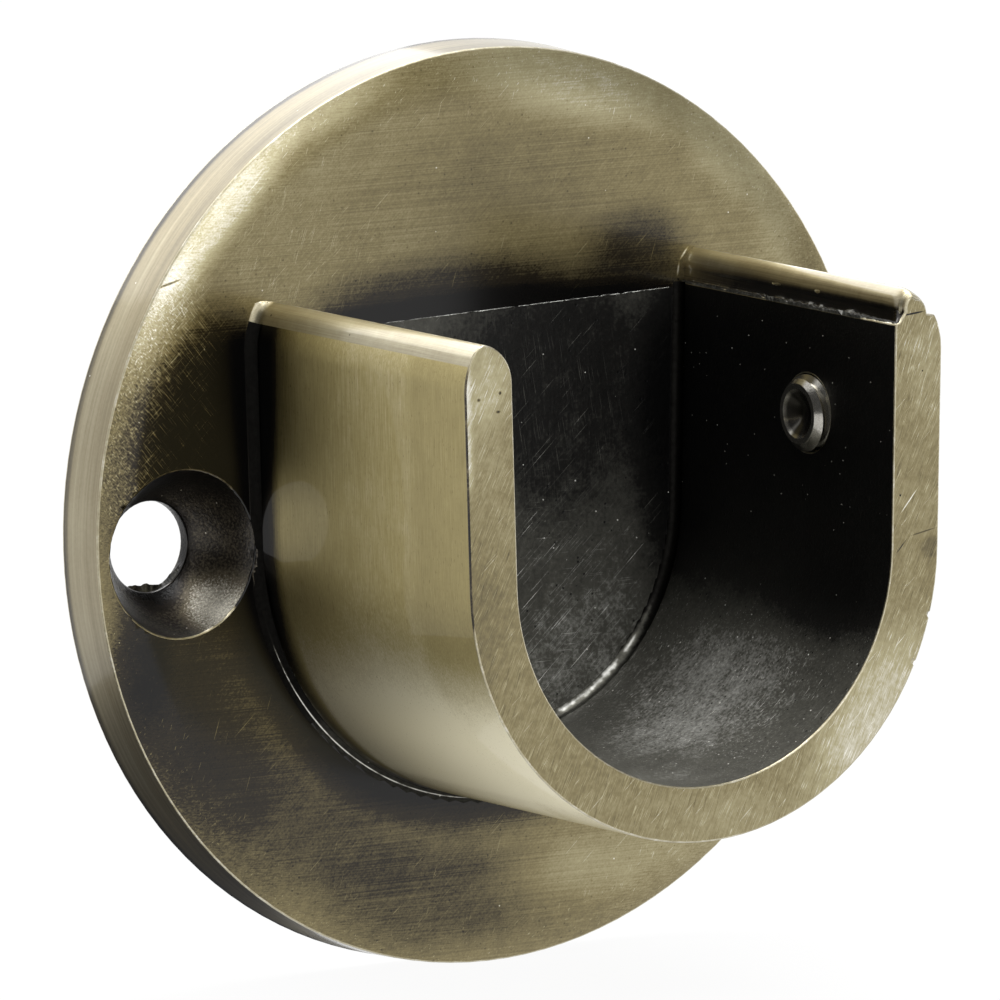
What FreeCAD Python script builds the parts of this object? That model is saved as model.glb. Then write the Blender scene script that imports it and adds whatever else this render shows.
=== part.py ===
"""Recess bracket for a 28 mm curtain pole: a die-cast wall plate and open cup, and its grub screw.

Millimetres. The origin is the centre of the plate's back, which lies on the wall. The wall is
at +Y, the pole lies along Y in front of it, +X is to the right and +Z is up.
"""

import FreeCAD, Part
import math
import os

V = FreeCAD.Vector

# Wall plate: a disc with a crisp rim and a face that falls away a little towards the rim
PLATE_RADIUS = 30.0
PLATE_THICKNESS = 4.95
RIM_HEIGHT = 4.35
RIM_TAPER = 0.15
BACK_EDGE_CHAMFER = 0.45
SHOULDER_WIDTH = 3.6

# Cup: a U seen from the front, with walls that flare a little from the half round upwards
CUP_FRONT = 29.8
CUP_AXIS_Z = -0.7
SEAT_RADIUS = 14.4
WALL_THICKNESS = 3.6
WALL_FLARE_DEG = 1.5
PARTING_Z = 13.7

# Wall tops: a rounded crown on each wall, the left one ground lower when it was polished
CROWN_WIDTH_INSET = 0.55
OUTER_ROUND = 1.9
OUTER_BULGE = 0.12
LEFT_CROWN_TOP = 14.8
LEFT_CROWN_X = 16.8
LEFT_CROWN_BULGE = 0.15
LEFT_EDGE_RISE = 0.3
LEFT_INNER_ROUND = 2.5
LEFT_INNER_BULGE = 0.55
RIGHT_CROWN_TOP = 15.7
RIGHT_CROWN_X = 16.0
RIGHT_INNER_BULGE = 0.3
RIGHT_OUTER_BULGE = 0.35
RIGHT_CROWN_SIDE = 0.75
RIGHT_CROWN_DRAFT = 0.05
RIGHT_SHOULDER_WIDTH = 0.6
RIGHT_SHOULDER_RISE = 0.2
RIGHT_FOOT_RISE = 0.3

# The die's parting line leaves a narrow ledge between the inside of the U and the right crown
PARTING_LEDGE = 0.3
LEDGE_DROP = 0.2
LEDGE_SLOPE = 0.1

# Root of the cup on the plate, inside and outside
ROOT_RADIUS = 0.65

# Two screw holes with bowl-shaped sinkings for round-headed wood screws
HOLE_SPACING = 47.4
HOLE_Z = -1.05
HOLE_RADIUS = 2.95
HOLE_LAND = 0.9
SINK_RADIUS = 5.42
SINK_BULGE = 0.45

# M5 x 5 grub screw with a cup point and a hexagon socket, through the right wall
SCREW_RADIUS = 2.5
SCREW_LENGTH = 5.0
SCREW_CLEARANCE = 0.05
SCREW_Y = -19.95
SCREW_Z = 6.65
SCREW_TIP_X = 13.75
TIP_CHAMFER = 0.5
POINT_RADIUS = 1.6
POINT_ANGLE_DEG = 118.0
SOCKET_ACROSS_FLATS = 2.5
SOCKET_DEPTH = 2.0
SOCKET_CHAMFER = 0.25

# How far a cutting shape stands past the surfaces it cuts, and how close counts as touching
CUT_OVERRUN = 1.0
TOUCHING = 1e-4


def line(a, b):
    """Straight edge between two points."""
    return Part.LineSegment(a, b).toShape()


def arc(a, middle, b):
    """Circular edge through three points."""
    return Part.Arc(a, middle, b).toShape()


def bulged_middle(a, b, bulge):
    """Point beside the middle of a-b, moved by bulge to the right of the way from a to b."""
    along = b - a
    side = V(along.z, 0.0, -along.x)
    side.normalize()
    return (a + b) * 0.5 + side * bulge


def turned(points_and_bulges, centre_axis, direction):
    """Solid of revolution of a closed outline about an axis."""
    edges = []
    count = len(points_and_bulges)
    for index in range(count):
        start, middle = points_and_bulges[index]
        end = points_and_bulges[(index + 1) % count][0]
        if middle is None:
            edges.append(line(start, end))
        else:
            edges.append(arc(start, middle, end))
    face = Part.Face(Part.Wire(edges))
    return face.revolve(centre_axis, direction, 360.0)


def wall_plate():
    """Disc with a chamfered back edge, a slightly tapered rim and a soft shoulder in front."""
    front_radius = PLATE_RADIUS - RIM_TAPER
    shoulder_start = V(front_radius, -RIM_HEIGHT, 0.0)
    shoulder_end = V(front_radius - SHOULDER_WIDTH, -PLATE_THICKNESS, 0.0)
    rise = PLATE_THICKNESS - RIM_HEIGHT
    # The shoulder is an arc tangent to the flat of the face
    shoulder_radius = (SHOULDER_WIDTH ** 2 + rise ** 2) / (2.0 * rise)
    half_angle = 0.5 * math.asin(SHOULDER_WIDTH / shoulder_radius)
    shoulder_middle = V(
        shoulder_end.x + shoulder_radius * math.sin(half_angle),
        -PLATE_THICKNESS + shoulder_radius * (1.0 - math.cos(half_angle)),
        0.0,
    )
    outline = [
        (V(0.0, 0.0, 0.0), None),
        (V(PLATE_RADIUS - BACK_EDGE_CHAMFER, 0.0, 0.0), None),
        (V(PLATE_RADIUS, -BACK_EDGE_CHAMFER, 0.0), None),
        (shoulder_start, shoulder_middle),
        (shoulder_end, None),
        (V(0.0, -PLATE_THICKNESS, 0.0), None),
    ]
    return turned(outline, V(0, 0, 0), V(0, 1, 0))


def wall_x(radius, z):
    """Half width of the U at height z, for the side line that is tangent to its half round."""
    flare = math.radians(WALL_FLARE_DEG)
    return radius / math.cos(flare) + (z - CUP_AXIS_Z) * math.tan(flare)


def tangent_point(radius, side):
    """Where the side line of the U leaves its half round; side is -1 left or 1 right."""
    flare = math.radians(WALL_FLARE_DEG)
    return side * radius * math.cos(flare), CUP_AXIS_Z - radius * math.sin(flare)


def cup_section(y):
    """Closed outline of the cup's wall at depth y, from the left crown round and back."""
    outer_radius = SEAT_RADIUS + WALL_THICKNESS

    def at(x, z):
        return V(x, y, z)

    bottom_in = at(0.0, CUP_AXIS_Z - SEAT_RADIUS)
    bottom_out = at(0.0, CUP_AXIS_Z - outer_radius)
    round_z = PARTING_Z - OUTER_ROUND
    edge_x = wall_x(outer_radius, PARTING_Z) - CROWN_WIDTH_INSET

    # Left wall: a low crown, rounded well over on the inner side
    left_top = at(-LEFT_CROWN_X, LEFT_CROWN_TOP)
    left_in_z = LEFT_CROWN_TOP - LEFT_INNER_ROUND
    left_in = at(-wall_x(SEAT_RADIUS, left_in_z), left_in_z)
    left_edge = at(-edge_x, PARTING_Z + LEFT_EDGE_RISE)
    left_out = at(-wall_x(outer_radius, round_z), round_z)

    # Right wall: the parting ledge, then a full half-round crown
    ledge_z = PARTING_Z - LEDGE_DROP
    right_in = at(wall_x(SEAT_RADIUS, ledge_z), ledge_z)
    ledge_in = at(right_in.x + PARTING_LEDGE, ledge_z + LEDGE_SLOPE)
    side_in = at(ledge_in.x + RIGHT_CROWN_DRAFT, ledge_z + RIGHT_CROWN_SIDE)
    right_top = at(RIGHT_CROWN_X, RIGHT_CROWN_TOP)
    right_foot = at(edge_x - RIGHT_SHOULDER_WIDTH, PARTING_Z + RIGHT_FOOT_RISE)
    right_edge = at(edge_x, PARTING_Z + RIGHT_SHOULDER_RISE)
    right_out = at(wall_x(outer_radius, round_z), round_z)

    left_turn_in = at(*tangent_point(SEAT_RADIUS, -1))
    right_turn_in = at(*tangent_point(SEAT_RADIUS, 1))
    left_turn_out = at(*tangent_point(outer_radius, -1))
    right_turn_out = at(*tangent_point(outer_radius, 1))
    edges = [
        arc(left_top, bulged_middle(left_top, left_in, -LEFT_INNER_BULGE), left_in),
        line(left_in, left_turn_in),
        arc(left_turn_in, bottom_in, right_turn_in),
        line(right_turn_in, right_in),
        line(right_in, ledge_in),
        line(ledge_in, side_in),
        arc(side_in, bulged_middle(side_in, right_top, -RIGHT_INNER_BULGE), right_top),
        arc(right_top, bulged_middle(right_top, right_foot, -RIGHT_OUTER_BULGE), right_foot),
        line(right_foot, right_edge),
        arc(right_edge, bulged_middle(right_edge, right_out, -OUTER_BULGE), right_out),
        line(right_out, right_turn_out),
        arc(right_turn_out, bottom_out, left_turn_out),
        line(left_turn_out, left_out),
        arc(left_out, bulged_middle(left_out, left_edge, -OUTER_BULGE), left_edge),
        arc(left_edge, bulged_middle(left_edge, left_top, -LEFT_CROWN_BULGE), left_top),
    ]
    return Part.Wire(edges)


def cup_wall():
    """Wall of the cup, drawn straight out of the plate to the ground front face."""
    start_y = -0.5 * PLATE_THICKNESS
    section = Part.Face(cup_section(start_y))
    return section.extrude(V(0, -CUP_FRONT - start_y, 0))


def root_profile(foot, inward):
    """Face between plate and wall that fills their corner with a hollow quarter round."""
    outward = V(0, -1, 0)
    on_wall = foot + outward * ROOT_RADIUS
    on_plate = foot + inward * ROOT_RADIUS
    centre = on_wall + inward * ROOT_RADIUS
    middle = centre - (inward + outward) * (ROOT_RADIUS / math.sqrt(2.0))
    edges = [
        line(foot, on_wall),
        arc(on_wall, middle, on_plate),
        line(on_plate, foot),
    ]
    return Part.Face(Part.Wire(edges))


def inner_root():
    """Hollow round between the plate and the inside of the U, up to the parting line."""
    flare = math.radians(WALL_FLARE_DEG)
    axis_point = V(0, -PLATE_THICKNESS, CUP_AXIS_Z)
    left_x, turn_z = tangent_point(SEAT_RADIUS, -1)
    left_foot = V(left_x, -PLATE_THICKNESS, turn_z)
    inward = (axis_point - left_foot).normalize()
    half_round_deg = 180.0 - 2.0 * WALL_FLARE_DEG
    root = root_profile(left_foot, inward).revolve(axis_point, V(0, -1, 0), half_round_deg)
    for side, top_z in ((-1, LEFT_CROWN_TOP - LEFT_INNER_ROUND), (1, PARTING_Z - LEDGE_DROP)):
        x, z = tangent_point(SEAT_RADIUS, side)
        foot = V(x, -PLATE_THICKNESS, z)
        length = (top_z - z) / math.cos(flare)
        upward = V(side * math.sin(flare), 0, math.cos(flare)) * length
        inward = V(-side * math.cos(flare), 0, math.sin(flare))
        root = root.fuse(root_profile(foot, inward).extrude(upward))
    return root


def outer_root_edges(body):
    """Edges where the outside of the cup meets the flat of the plate, below the crowns."""
    found = []
    for edge in body.Edges:
        ends = [vertex.Point for vertex in edge.Vertexes]
        on_face = all(abs(point.y + PLATE_THICKNESS) < TOUCHING for point in ends)
        outside = all(abs(point.x) > SEAT_RADIUS + 0.5 * WALL_THICKNESS for point in ends)
        if len(ends) == 2 and on_face and outside and min(point.z for point in ends) < PARTING_Z:
            found.append(edge)
    return found


def screw_hole(x):
    """Through hole with a short land at the wall and a bowl that a round screw head sits in."""
    bore_end = V(HOLE_RADIUS, 0.0, HOLE_LAND)
    lip = V(SINK_RADIUS, 0.0, PLATE_THICKNESS)
    outline = [
        (V(0.0, 0.0, -CUT_OVERRUN), None),
        (V(HOLE_RADIUS, 0.0, -CUT_OVERRUN), None),
        (bore_end, bulged_middle(bore_end, lip, SINK_BULGE)),
        (lip, None),
        (V(SINK_RADIUS, 0.0, PLATE_THICKNESS + CUT_OVERRUN), None),
        (V(0.0, 0.0, PLATE_THICKNESS + CUT_OVERRUN), None),
    ]
    tool = turned(outline, V(0, 0, 0), V(0, 0, 1))
    # The outline stands along Z and is laid down to point out of the wall, along -Y
    tool.rotate(V(0, 0, 0), V(1, 0, 0), 90.0)
    tool.translate(V(x, 0.0, HOLE_Z))
    return tool


def tapped_hole():
    """Hole for the grub screw, straight through the right wall."""
    start = V(SEAT_RADIUS - CUT_OVERRUN, SCREW_Y, SCREW_Z)
    length = WALL_THICKNESS + 3.0 * CUT_OVERRUN
    return Part.makeCylinder(SCREW_RADIUS + SCREW_CLEARANCE, length, start, V(1, 0, 0))


def bracket_casting():
    """The whole casting: plate, cup, roots, screw holes and grub screw hole."""
    body = wall_plate().fuse(cup_wall()).removeSplitter()
    body = body.makeFillet(ROOT_RADIUS, outer_root_edges(body))
    body = body.fuse(inner_root()).removeSplitter()
    for x in (-0.5 * HOLE_SPACING, 0.5 * HOLE_SPACING):
        body = body.cut(screw_hole(x))
    return body.cut(tapped_hole())


def hexagon(across_flats, length):
    """Hexagonal bar along Z."""
    corner = across_flats / math.sqrt(3.0)
    points = []
    for index in range(7):
        angle = math.radians(60.0 * index)
        points.append(V(corner * math.cos(angle), corner * math.sin(angle), 0.0))
    return Part.Face(Part.makePolygon(points)).extrude(V(0, 0, length))


def grub_screw():
    """Headless screw: cup point towards the pole, hexagon socket at the outer end."""
    point_depth = POINT_RADIUS / math.tan(math.radians(0.5 * POINT_ANGLE_DEG))
    outline = [
        (V(0.0, 0.0, point_depth), None),
        (V(POINT_RADIUS, 0.0, 0.0), None),
        (V(SCREW_RADIUS - TIP_CHAMFER, 0.0, 0.0), None),
        (V(SCREW_RADIUS, 0.0, TIP_CHAMFER), None),
        (V(SCREW_RADIUS, 0.0, SCREW_LENGTH - SOCKET_CHAMFER), None),
        (V(SCREW_RADIUS - SOCKET_CHAMFER, 0.0, SCREW_LENGTH), None),
        (V(0.0, 0.0, SCREW_LENGTH), None),
    ]
    screw = turned(outline, V(0, 0, 0), V(0, 0, 1))
    socket = hexagon(SOCKET_ACROSS_FLATS, SOCKET_DEPTH)
    socket.translate(V(0, 0, SCREW_LENGTH - SOCKET_DEPTH))
    screw = screw.cut(socket)
    # Built along Z with its point at the origin, then laid along X with the point towards -X
    screw.rotate(V(0, 0, 0), V(0, 1, 0), 90.0)
    screw.translate(V(SCREW_TIP_X, SCREW_Y, SCREW_Z))
    return screw


def main():
    """Write both pieces and print whether they are sound."""
    os.makedirs("parts", exist_ok=True)
    parts = {"bracket_casting": bracket_casting(), "grub_screw": grub_screw()}
    for name, shape in parts.items():
        solid = shape.Solids[0]
        print(name, "solids", len(shape.Solids), "valid", solid.isValid(), "volume", round(solid.Volume, 1))
        solid.exportStep(os.path.join("parts", name + ".step"))


main()
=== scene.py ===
"""Curtain pole bracket: antique brass casting and steel grub screw, dressed around the CAD frame.

Metres, in the CAD frame: the wall is at +Y, the pole lies along Y in front of it, +Z is up.
Sizes are written in millimetres and turned to metres by MM.
"""

from __future__ import annotations

import logging
import math
import random
from dataclasses import dataclass
from enum import Enum

import bmesh
import bpy
from bmesh.types import BMEdge, BMesh, BMFace
from bpy.types import Material, Node, NodeTree, Object
from mathutils import Matrix, Vector, noise

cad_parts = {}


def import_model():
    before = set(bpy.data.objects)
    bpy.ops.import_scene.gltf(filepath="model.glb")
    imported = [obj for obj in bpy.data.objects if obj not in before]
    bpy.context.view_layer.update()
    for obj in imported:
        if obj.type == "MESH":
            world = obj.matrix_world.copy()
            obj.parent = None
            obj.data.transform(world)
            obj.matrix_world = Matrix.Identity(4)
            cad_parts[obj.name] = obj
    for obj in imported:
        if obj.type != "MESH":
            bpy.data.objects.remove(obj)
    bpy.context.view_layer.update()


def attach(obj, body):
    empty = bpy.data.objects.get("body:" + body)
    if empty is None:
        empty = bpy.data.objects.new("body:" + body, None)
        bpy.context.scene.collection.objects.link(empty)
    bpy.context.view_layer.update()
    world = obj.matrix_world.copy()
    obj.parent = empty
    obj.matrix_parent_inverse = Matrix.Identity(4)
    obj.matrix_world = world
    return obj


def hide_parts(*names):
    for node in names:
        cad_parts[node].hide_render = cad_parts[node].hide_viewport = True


MM = 0.001
LOG = logging.getLogger("bracket")

# How far apart two surfaces may be and still count as one, and as near, in millimetres.
TOUCH = 0.01
NEAR = 0.1

Feed = Node | tuple[Node, str] | float
Pair = tuple[float, float]
Triple = tuple[float, float, float]
Inputs = dict[str | int, Feed | tuple[float, ...]]

NONE: Triple = (0.0, 0.0, 0.0)


def linear(code: str) -> tuple[float, float, float, float]:
    """Turn an sRGB hex colour to linear.

    Args:
        code: Six hex digits.

    Returns:
        Linear red, green, blue and an alpha of 1.
    """
    parts = [int(code[start : start + 2], 16) / 255.0 for start in (0, 2, 4)]
    red, green, blue = (
        part / 12.92 if part <= 0.04045 else ((part + 0.055) / 1.055) ** 2.4 for part in parts
    )
    return red, green, blue, 1.0


def laid_out(spot: Feed, size_mm: Triple, turn_deg: Triple = NONE, at_mm: Triple = NONE) -> Inputs:
    """Work out the inputs of a texture mapping that is given in millimetres.

    Args:
        spot: The point on the surface.
        size_mm: What one unit of the pattern measures along its own axes.
        turn_deg: Turns about X, Y and Z.
        at_mm: Where the pattern's origin is.

    Returns:
        Inputs for a Mapping node of the texture type.
    """
    return {
        "Vector": spot,
        "Location": tuple(part * MM for part in at_mm),
        "Rotation": tuple(math.radians(part) for part in turn_deg),
        "Scale": tuple(part * MM for part in size_mm),
    }


def new_material(name: str) -> Material:
    """Start a material that is made of nodes.

    Args:
        name: What it is called.

    Returns:
        The material.
    """
    material = bpy.data.materials.new(name)
    material.use_nodes = True
    return material


class Recipe:
    """Node tree of one material, or of the world, built up node by node."""

    def __init__(self, tree: NodeTree) -> None:
        """Empty the tree that is to be filled."""
        self.tree = tree
        tree.nodes.clear()

    def add(self, kind: str, inputs: Inputs | None = None, **settings: str) -> Node:
        """Add a node with its settings and links.

        Args:
            kind: Node type without its ShaderNode prefix.
            inputs: Socket name or number to a value, a node, or a node and an output name.
            settings: Properties of the node itself.

        Returns:
            The new node.
        """
        node = self.tree.nodes.new("ShaderNode" + kind)
        for name, value in settings.items():
            setattr(node, name, value)
        for key, value in (inputs or {}).items():
            socket = node.inputs[key]
            if isinstance(value, Node):
                self.tree.links.new(value.outputs[0], socket)
            elif isinstance(value, tuple) and isinstance(value[0], Node):
                self.tree.links.new(value[0].outputs[value[1]], socket)
            else:
                socket.default_value = value
        return node


class Layers(Recipe):
    """A finish while it is built up: the point on the surface, its tone and its height."""

    def __init__(self, tree: NodeTree, level: float = 0.0) -> None:
        """Start from the plain surface.

        Args:
            tree: The material's tree.
            level: The tone of the plain surface.
        """
        super().__init__(tree)
        self.spot: Feed = (self.add("TexCoord"), "Object")
        self.tone: Feed = level
        self.height: Feed = 0.0

    def grain(
        self, size_mm: Triple, detail: float, turn_deg: Triple = NONE, roughness: float = 0.6
    ) -> Node:
        """Lay a noise over the surface.

        Args:
            size_mm: What one unit of the noise measures along its own axes.
            detail: How many finer noises lie on it.
            turn_deg: Turns about X, Y and Z.
            roughness: How strong the finer noises are.

        Returns:
            A node that gives 0 to 1, and a half on the whole.
        """
        place = laid_out(self.spot, size_mm, turn_deg)
        place = self.add("Mapping", place, vector_type="TEXTURE")
        shape = {"Vector": place, "Scale": 1.0, "Detail": detail, "Roughness": roughness}
        return self.add("TexNoise", shape)

    def change(
        self, pattern: Feed, tone: float, height_um: float = 0.0, within: Patch | None = None
    ) -> None:
        """Add a pattern to the tone, and to the height if it stands out or goes in.

        Args:
            pattern: What is added, 0 where there is nothing.
            tone: Change of tone where the pattern is 1.
            height_um: Height where the pattern is 1.
            within: The place that the pattern is kept to, if any.
        """
        if within is not None:
            pattern = self.add("Math", {0: pattern, 1: within.inside(self)}, operation="MULTIPLY")
        self.tone = self.add("Math", {0: pattern, 1: tone, 2: self.tone}, operation="MULTIPLY_ADD")
        if height_um:
            rise = {0: pattern, 1: height_um * MM, 2: self.height}
            self.height = self.add("Math", rise, operation="MULTIPLY_ADD")

    def vary(
        self, grain: Feed, tone: float, height_um: float, within: Patch | None = None
    ) -> None:
        """Let a noise raise and lower the tone and the height.

        Args:
            grain: The noise.
            tone: Difference of tone between 0 and 1.
            height_um: Difference of height between 0 and 1.
            within: The place that the noise is kept to, if any.
        """
        centred = self.add("Math", {0: grain, 1: 0.5}, operation="SUBTRACT")
        self.change(centred, tone, height_um, within)


class Run(Enum):
    """Which way the polishing belt or wheel ran over a surface, as turns about X, Y and Z."""

    ACROSS = (0.0, 0.0, 0.0)
    UPRIGHT = (0.0, 90.0, 0.0)
    RISING = (0.0, -42.0, 0.0)
    FALLING = (0.0, 50.0, 0.0)
    STEEP = (0.0, -72.0, 0.0)
    LEANING = (0.0, 80.0, 0.0)
    GROUND = (0.0, -62.0, 0.0)
    OUTWARD = (0.0, 0.0, 90.0)


class Mark:
    """One kind of mark that a finish is built up from: tooling, wear, painted shade and painted
    highlights.
    """

    def lay(self, layers: Layers) -> None:
        """Add the mark to a finish."""
        raise NotImplementedError


@dataclass(frozen=True)
class Patch(Mark):
    """Soft place made darker or lighter: mostly painted shade and painted highlights, and also some
    nicks, pits and cracks.

    Places and sizes in millimetres. The core is the share that has the whole change of tone.
    """

    x: float
    z: float
    half_width: float
    half_height: float
    change: float = 0.0
    y: float = 0.0
    half_depth: float = 400.0
    turn_deg: float = 0.0
    core: float = 0.25

    @classmethod
    def between(cls, start: Pair, end: Pair, width: float, change: float) -> Patch:
        """Draw a narrow patch from one point to another, as seen from the front.

        Args:
            start: X and Z of one end, in millimetres.
            end: X and Z of the other end.
            width: Full width.
            change: Change of tone.

        Returns:
            The patch.
        """
        along = (end[0] - start[0], end[1] - start[1])
        return cls(
            0.5 * (start[0] + end[0]),
            0.5 * (start[1] + end[1]),
            0.5 * math.hypot(*along),
            0.5 * width,
            change,
            turn_deg=-math.degrees(math.atan2(along[1], along[0])),
        )

    def inside(self, layers: Layers) -> Node:
        """Work out how far inside the patch a point is.

        Args:
            layers: The finish so far.

        Returns:
            A node that gives 1 in the middle and 0 outside.
        """
        add = layers.add
        size = (self.half_width, self.half_depth, self.half_height)
        place = laid_out(layers.spot, size, (0.0, self.turn_deg, 0.0), (self.x, self.y, self.z))
        away = add("VectorMath", {0: add("Mapping", place, vector_type="TEXTURE")}, operation="LENGTH")
        fade = {"Value": (away, "Value"), 1: self.core, 2: 1.0, 3: 1.0, 4: 0.0}
        return add("MapRange", fade, interpolation_type="SMOOTHSTEP")

    def lay(self, layers: Layers) -> None:
        """Darken or lighten the place."""
        layers.change(self.inside(layers), self.change)


@dataclass(frozen=True)
class Clouds(Mark):
    """Uneven patina, light and dark by turns."""

    size_mm: float
    tone: float
    height_um: float = 0.0
    detail: float = 3.0

    def lay(self, layers: Layers) -> None:
        """Add a soft noise on both sides of the level."""
        layers.vary(layers.grain((self.size_mm,) * 3, self.detail), self.tone, self.height_um)


@dataclass(frozen=True)
class Brushing(Mark):
    """Fine parallel lines left by the polishing belt."""

    run: Run
    spacing_mm: float
    length_mm: float
    tone: float
    depth_um: float
    within: Patch | None = None
    detail: float = 2.0

    def lay(self, layers: Layers) -> None:
        """Stretch a noise along the belt's run.

        Args:
            layers: The finish so far.
        """
        size = (self.length_mm, self.spacing_mm, self.spacing_mm)
        lines = layers.grain(size, self.detail, self.run.value)
        layers.vary(lines, self.tone, self.depth_um, self.within)


@dataclass(frozen=True)
class TurnedLines(Mark):
    """Fine lines that run round the plate's rim."""

    spacing_mm: float
    tone: float
    depth_um: float
    length_mm: float = 14.0
    detail: float = 3.0

    def lay(self, layers: Layers) -> None:
        """Let a noise change with the depth and hardly along the rim."""
        size = (self.length_mm, self.spacing_mm, self.length_mm)
        layers.vary(layers.grain(size, self.detail), self.tone, self.depth_um)


@dataclass(frozen=True)
class Scratches(Mark):
    """Single crisp scratches, rarer the higher the threshold."""

    run: Run
    width_mm: float
    length_mm: float
    threshold: float
    tone: float
    depth_um: float = 0.0
    within: Patch | None = None
    edge: float = 0.05

    def lay(self, layers: Layers) -> None:
        """Keep only the peaks of a stretched noise.

        Args:
            layers: The finish so far.
        """
        size = (self.length_mm, self.width_mm, self.width_mm)
        lines = layers.grain(size, 0.0, self.run.value)
        ends = {"Value": lines, 1: self.threshold, 2: self.threshold + self.edge}
        shown = layers.add("MapRange", ends)
        layers.change(shown, self.tone, -self.depth_um, self.within)


@dataclass(frozen=True)
class Specks(Mark):
    """Scattered dust, pits or casting pimples, one to a cell in a share of the cells."""

    spacing_mm: float
    radius_mm: float
    share: float
    tone: float
    height_um: float
    within: Patch | None = None
    core: float = 0.5

    def lay(self, layers: Layers) -> None:
        """Put a dot in each cell and show only a share of them.

        Args:
            layers: The finish so far.
        """
        add = layers.add
        cells = add("Mapping", laid_out(layers.spot, (self.spacing_mm,) * 3), vector_type="TEXTURE")
        cells = add("TexVoronoi", {"Vector": cells, "Scale": 1.0})
        reach = self.radius_mm / self.spacing_mm
        ends = {"Value": (cells, "Distance"), 1: reach, 2: reach * self.core, 3: 0.0, 4: 1.0}
        pick = add("SeparateColor", {"Color": (cells, "Color")})
        kept = add("Math", {0: (pick, "Red"), 1: self.share}, operation="LESS_THAN")
        dot = add("Math", {0: add("MapRange", ends), 1: kept}, operation="MULTIPLY")
        layers.change(dot, self.tone, self.height_um, self.within)


@dataclass(frozen=True)
class DepthShade(Mark):
    """Painted shade that darkens the tone with depth, mostly towards the wall plate."""

    start_y: float
    end_y: float
    change: float

    def lay(self, layers: Layers) -> None:
        """Change the tone from one depth to the other, and stay there.

        Args:
            layers: The finish so far.
        """
        place = layers.add("SeparateXYZ", {0: layers.spot})
        ends = {"Value": (place, "Y"), 1: self.start_y * MM, 2: self.end_y * MM}
        near = layers.add("MapRange", ends, interpolation_type="SMOOTHSTEP")
        layers.change(near, self.change)


@dataclass(frozen=True)
class CupSizes:
    """The U of the cup, in millimetres."""

    axis_z: float = -0.7
    seat_radius: float = 14.4
    wall_thickness: float = 3.6
    flare: float = math.radians(1.5)
    front: float = 29.8
    root: float = 0.65

    def distance(self, x: float, z: float) -> float:
        """Measure from the middle line of the U.

        Args:
            x: Across the bracket.
            z: Up.

        Returns:
            The seat radius on the inside of the U, and more further out.
        """
        up = z - self.axis_z
        if up < 0.0:
            return math.hypot(x, up)
        return abs(x) * math.cos(self.flare) - up * math.sin(self.flare)

    def distance_nodes(self, layers: Layers) -> Node:
        """Measure from the middle line of the U in a material.

        Args:
            layers: The finish so far.

        Returns:
            A node that gives the distance in metres.
        """
        add = layers.add
        place = add("SeparateXYZ", {0: layers.spot})
        across = add("Math", {0: (place, "X")}, operation="ABSOLUTE")
        up = add("Math", {0: (place, "Z"), 1: self.axis_z * MM}, operation="SUBTRACT")
        round_part = add("CombineXYZ", {"X": across, "Z": up})
        round_part = add("VectorMath", {0: round_part}, operation="LENGTH")
        leaned = add("Math", {0: up, 1: math.sin(self.flare)}, operation="MULTIPLY")
        straight = add("Math", {0: across, 1: math.cos(self.flare)}, operation="MULTIPLY")
        straight = add("Math", {0: straight, 1: leaned}, operation="SUBTRACT")
        above = add("Math", {0: up, 1: 0.0}, operation="GREATER_THAN")
        return add("Mix", {0: above, 2: (round_part, "Value"), 3: straight}, data_type="FLOAT")


CUP = CupSizes()


@dataclass(frozen=True)
class CupShade(Mark):
    """Tone that changes with the distance from the U, kept to one place: painted shade and dark patina
    round the foot of the cup on the plate, and a painted highlight along the left leg's outer front
    edge.
    """

    start: float
    end: float
    change: float
    within: Patch | None = None

    def lay(self, layers: Layers) -> None:
        """Change the tone most at the start, and no more at the end.

        Args:
            layers: The finish so far.
        """
        far = CUP.distance_nodes(layers)
        ends = {"Value": far, 1: self.start * MM, 2: self.end * MM, 3: 1.0, 4: 0.0}
        near = layers.add("MapRange", ends, interpolation_type="SMOOTHSTEP")
        layers.change(near, self.change, within=self.within)


@dataclass(frozen=True)
class CupLine(Mark):
    """Narrow light or dark line at one distance from the U, kept to one place."""

    distance: float
    half_width: float
    change: float
    within: Patch | None = None
    grain_mm: float = 1.2
    worn_below: float = 0.3
    whole_above: float = 0.55
    least: float = 0.25

    def lay(self, layers: Layers) -> None:
        """Draw the line, broken up by the grain of the casting.

        Args:
            layers: The finish so far.
        """
        add = layers.add
        off = {0: CUP.distance_nodes(layers), 1: self.distance * MM}
        off = add("Math", {0: add("Math", off, operation="SUBTRACT")}, operation="ABSOLUTE")
        line = add("MapRange", {"Value": off, 1: 0.0, 2: self.half_width * MM, 3: 1.0, 4: 0.0})
        grain = layers.grain((self.grain_mm,) * 3, 2.0, roughness=0.5)
        worn = {"Value": grain, 1: self.worn_below, 2: self.whole_above, 3: self.least, 4: 1.0}
        line = add("Math", {0: line, 1: add("MapRange", worn)}, operation="MULTIPLY")
        layers.change(line, self.change, within=self.within)


class Tones(Enum):
    """Colours from the black patina to the bright metal, as place on the ramp and sRGB."""

    AGED = ((0.0, "0a0806"), (0.22, "2b2417"), (0.5, "877b55"), (0.75, "b2a984"), (1.0, "efece0"))
    GOLDEN = ((0.0, "0a0806"), (0.22, "2b2416"), (0.5, "877a4c"), (0.75, "b5a774"), (1.0, "efe8ca"))
    RUBBED = ((0.0, "0a0806"), (0.22, "2b2418"), (0.5, "8b8063"), (0.75, "b8b094"), (1.0, "f2efe6"))
    CAST = ((0.0, "040404"), (0.3, "1e1d1b"), (0.6, "5a5952"), (1.0, "e6e6e0"))
    BOWL = ((0.0, "060505"), (0.3, "28231d"), (0.6, "6c6453"), (1.0, "e4dfd0"))


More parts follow.
